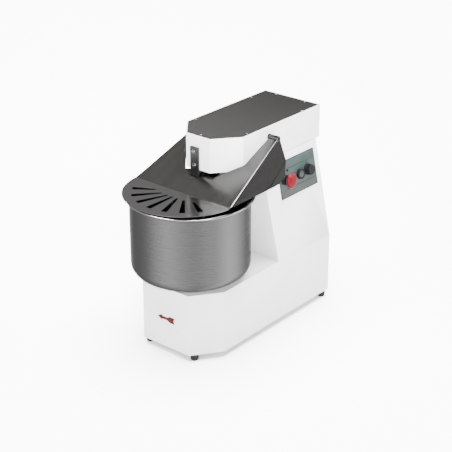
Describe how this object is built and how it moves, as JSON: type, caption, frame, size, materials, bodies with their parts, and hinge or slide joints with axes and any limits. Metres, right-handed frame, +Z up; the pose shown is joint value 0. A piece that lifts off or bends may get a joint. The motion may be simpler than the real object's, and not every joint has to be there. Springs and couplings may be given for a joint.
{
  "type": "spiral dough mixer",
  "caption": "Floor or bench spiral dough mixer: turning steel bowl, spiral tool and fixed breaker bar under a chamfered head, hinged slotted guard, side control panel.",
  "frame": {"origin": "centre of the bounding box's bottom face, on the floor under the machine", "axes": "+Z up, -Y towards the bowl at the front, +X to the right seen from the front, which is the side of the control panel"},
  "size_m": [0.342, 0.649, 0.583],
  "materials": {
    "white_paint": "semi-gloss powder coat",
    "stainless": "fine brushed stainless sheet",
    "bowl_steel": "spun and circumferentially brushed stainless",
    "turned_steel": "turned steel",
    "chain_steel": "oiled dark steel",
    "cast_grey": "grey enamel on casting",
    "zinc_plate": "zinc-plated sheet",
    "panel_aluminium": "satin anodised plate",
    "black_rubber": "moulded rubber",
    "black_plastic": "fine-textured black plastic",
    "grey_plastic": "moulded grey plastic",
    "red_plastic": "glossy red plastic",
    "white_nylon": "machined nylon",
    "red_film": "printed self-adhesive film"
  },
  "bodies": {
    "frame": {"base_shell": "white_paint", "base_floor": "white_paint", "column_shell": "white_paint", "column_front_panel": "white_paint", "rear_cover": "white_paint", "head_shell": "white_paint", "head_top_cover": "stainless", "foot_front_left": "black_rubber", "foot_rear_left": "black_rubber", "foot_front_right": "black_rubber", "foot_rear_right": "black_rubber", "bowl_bearing_housing": "cast_grey", "bowl_bearing_upper": "turned_steel", "bowl_bearing_lower": "turned_steel", "bowl_chain": "chain_steel", "drive_top_bearing": "cast_grey", "gearmotor_mount": "zinc_plate", "gearbox": "cast_grey", "motor": "cast_grey", "motor_fan_cover": "black_plastic", "spiral_bearing_housing": "cast_grey", "spiral_bearing_upper": "turned_steel", "spiral_bearing_lower": "turned_steel", "spiral_chain": "chain_steel", "bowl_chain_tensioner": "white_nylon", "spiral_chain_tensioner": "white_nylon", "breaker_bar": "stainless", "breaker_backing_plate": "white_paint", "breaker_bolt_upper": "turned_steel", "breaker_bolt_lower": "turned_steel", "guard_stop_plate": "stainless", "guard_bush_left": "black_plastic", "guard_bush_right": "black_plastic", "guard_switch": "black_plastic", "control_panel": "panel_aluminium", "estop_body": "black_plastic", "start_bezel": "black_plastic", "timer_body": "black_plastic", "pilot_lens": "grey_plastic", "contactor_box": "grey_plastic", "cable_gland": "black_plastic", "rotation_arrow": "red_film"},
    "bowl": {"bowl": "bowl_steel", "bowl_spindle": "turned_steel", "bowl_sprocket": "turned_steel"},
    "drive": {"drive_shaft": "turned_steel", "bowl_drive_sprocket": "turned_steel", "spiral_drive_sprocket": "turned_steel"},
    "spiral": {"spiral_tool": "stainless", "spiral_shaft": "turned_steel", "spiral_sprocket": "turned_steel"},
    "guard": {"bowl_guard": "stainless", "guard_pivot_left": "stainless", "guard_pivot_right": "stainless", "guard_cam": "white_nylon"},
    "estop_plunger": {"estop_stem": "black_plastic"},
    "estop_head": {"estop_mushroom": "red_plastic"},
    "start_button": {"start_button": "grey_plastic"},
    "timer_knob": {"timer_knob": "black_plastic"}
  },
  "joints": [
    {"name": "bowl_spin", "type": "hinge", "parent": "frame", "child": "bowl", "pos_m": [0, -0.14, 0.2145], "axis": [0, 0, -1], "continuous": true},
    {"name": "drive_spin", "type": "hinge", "parent": "frame", "child": "drive", "pos_m": [0, 0.1075, 0.3], "axis": [0, 0, -1], "continuous": true},
    {"name": "spiral_spin", "type": "hinge", "parent": "frame", "child": "spiral", "pos_m": [0, -0.0435, 0.4893], "axis": [0, 0, -1], "continuous": true},
    {"name": "guard_hinge", "type": "hinge", "parent": "frame", "child": "guard", "pos_m": [0, 0.0683, 0.5546], "axis": [-1, 0, 0], "range_deg": [0, 100]},
    {"name": "estop_press", "type": "slide", "parent": "frame", "child": "estop_plunger", "axis": [-0.9897, 0, -0.1429], "range_m": [0, 0.004], "stiffness_N_per_m": 600},
    {"name": "estop_twist", "type": "hinge", "parent": "estop_plunger", "child": "estop_head", "pos_m": [0.10619, 0.1195, 0.41525], "axis": [-0.9897, 0, -0.1429], "range_deg": [0, 35], "stiffness_Nm_per_rad": 0.05},
    {"name": "start_press", "type": "slide", "parent": "frame", "child": "start_button", "axis": [-0.9897, 0, -0.1429], "range_m": [0, 0.003], "stiffness_N_per_m": 400},
    {"name": "timer_turn", "type": "hinge", "parent": "frame", "child": "timer_knob", "pos_m": [0.10619, 0.2265, 0.41525], "axis": [-0.9897, 0, -0.1429], "range_deg": [0, 300]}
  ],
  "couplings": [
    {"joint": "drive_spin", "follows": "bowl_spin", "ratio": 4},
    {"joint": "spiral_spin", "follows": "bowl_spin", "ratio": 7.5}
  ]
}
